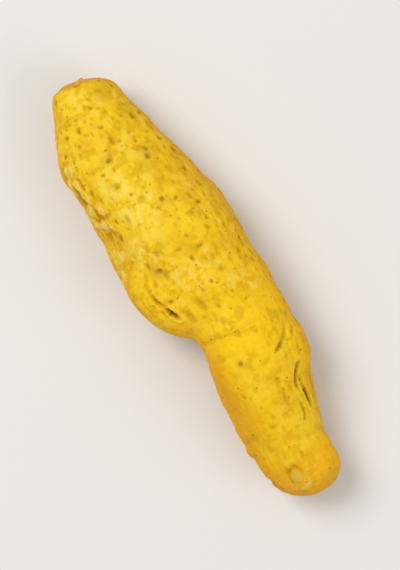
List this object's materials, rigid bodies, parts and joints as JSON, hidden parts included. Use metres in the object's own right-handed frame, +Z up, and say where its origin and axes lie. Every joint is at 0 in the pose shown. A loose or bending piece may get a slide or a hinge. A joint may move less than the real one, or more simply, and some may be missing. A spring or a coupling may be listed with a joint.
{
  "type": "turmeric root",
  "caption": "Dried turmeric finger lying down: stout tapering body with a blunt, broken-off stem end and a round shoulder, and a thinner, slightly bent tip that grew on from it.",
  "frame": {"origin": "on the table, under the middle of the finger's bounding box", "axes": "+X runs along the finger from the blunt stem end to the growing tip, +Y across it away from the shoulder, +Z up from the table"},
  "size_m": [0.061, 0.0176, 0.0141],
  "materials": {
    "turmeric_skin": "dry, matte, golden-yellow rhizome skin with small dark pits and a pale dusty bloom"
  },
  "bodies": {
    "root": {"turmeric_root": "turmeric_skin"}
  },
  "joints": []
}
